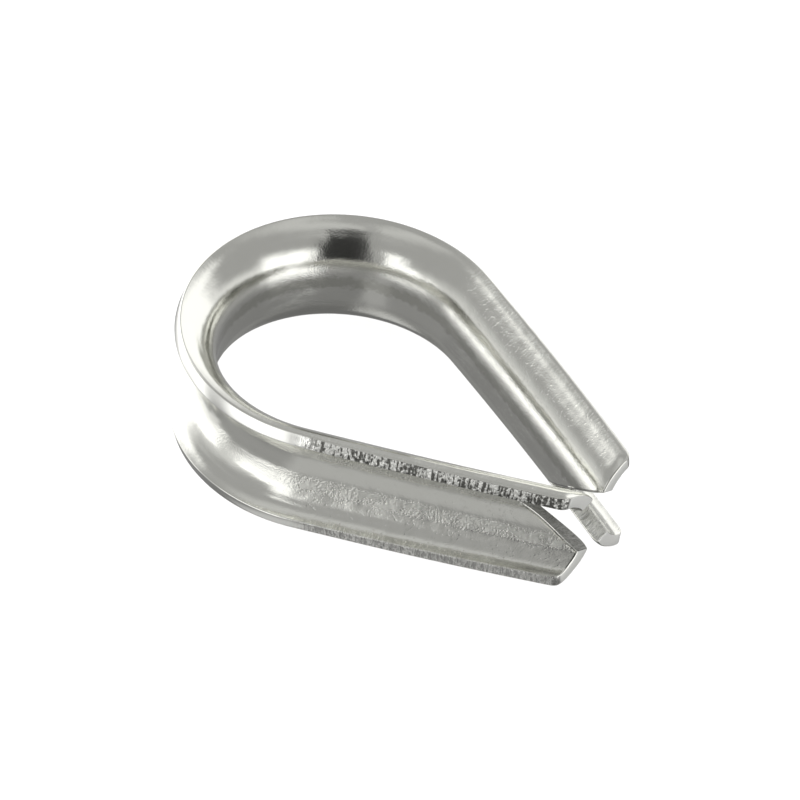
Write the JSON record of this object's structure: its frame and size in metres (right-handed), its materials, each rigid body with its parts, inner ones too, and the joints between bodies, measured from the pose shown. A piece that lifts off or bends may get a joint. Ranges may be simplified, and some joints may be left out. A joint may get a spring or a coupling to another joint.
{
  "type": "wire rope thimble",
  "caption": "Teardrop eye liner pressed from one stainless strip: an outward rope groove around a round crown, with legs that close to a cut-off tip.",
  "frame": {"origin": "centre of the round crown's wall, half way up the strip", "axes": "+X from the crown's centre to the tip, +Z square to the plane of the eye"},
  "size_m": [0.0469, 0.0324, 0.0124],
  "materials": {
    "stainless": "polished stainless strip, lightly grained where the die stretched it, sheared edges"
  },
  "bodies": {
    "root": {"thimble": "stainless"}
  },
  "joints": []
}
